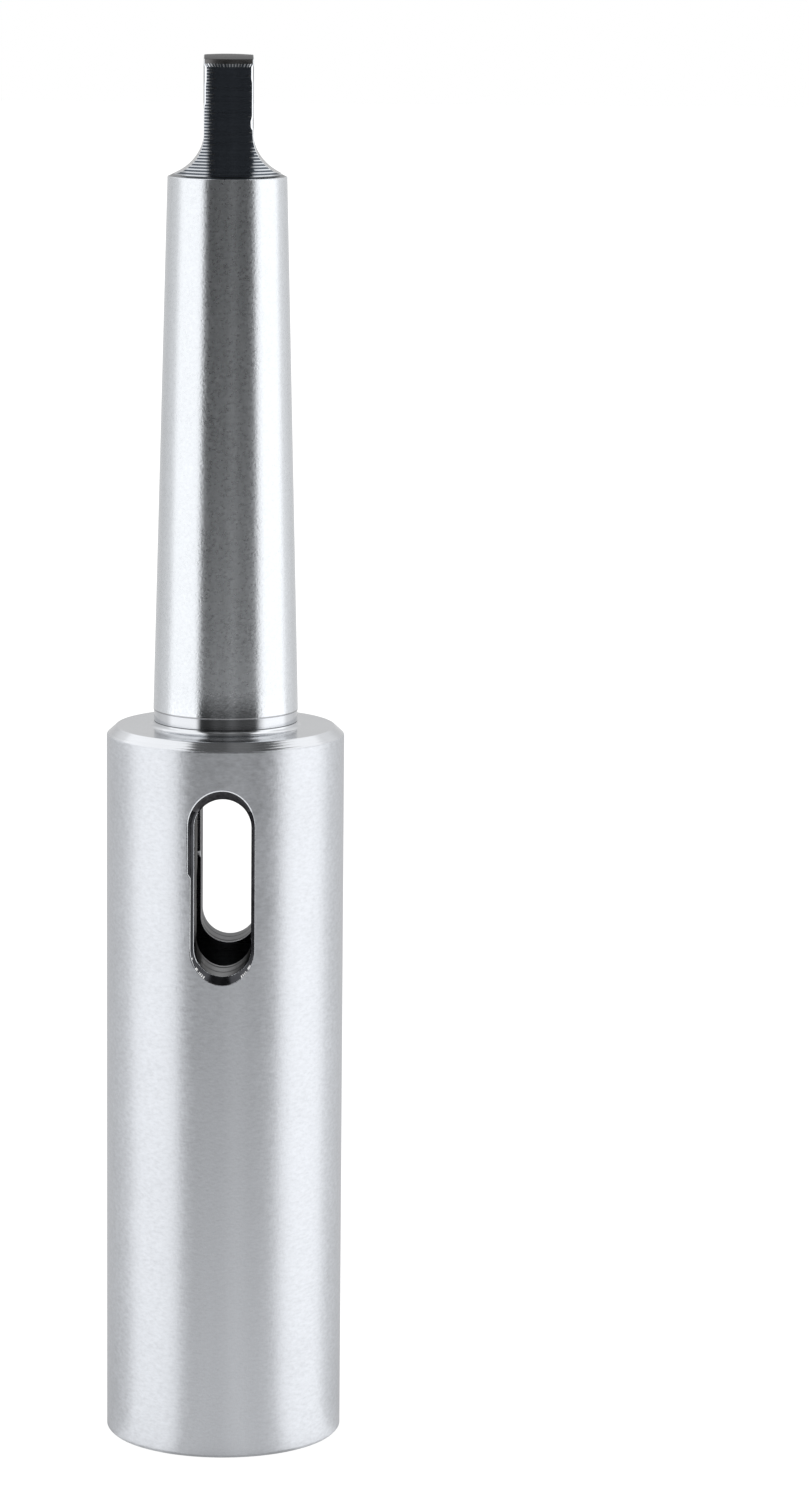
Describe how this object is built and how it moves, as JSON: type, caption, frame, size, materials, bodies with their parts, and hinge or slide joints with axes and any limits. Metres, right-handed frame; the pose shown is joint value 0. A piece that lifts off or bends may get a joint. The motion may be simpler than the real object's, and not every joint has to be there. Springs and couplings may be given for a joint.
{
  "type": "morse taper extension socket",
  "caption": "Steel extension socket: a tapered shank with a flat drive tang above a round body that holds a tapered socket, with a drift slot milled through its side.",
  "frame": {"origin": "centre of the mouth face, which the part stands on", "axes": "+Z along the axis from the mouth to the tang; the drift slot runs through along Y and the tang's flats face X"},
  "size_m": [0.0298, 0.0298, 0.1745],
  "materials": {
    "ground_steel": "hardened steel, ground bright; the turned tang and the slot's bevels are left dark"
  },
  "bodies": {
    "root": {"extension_socket": "ground_steel"}
  },
  "joints": []
}
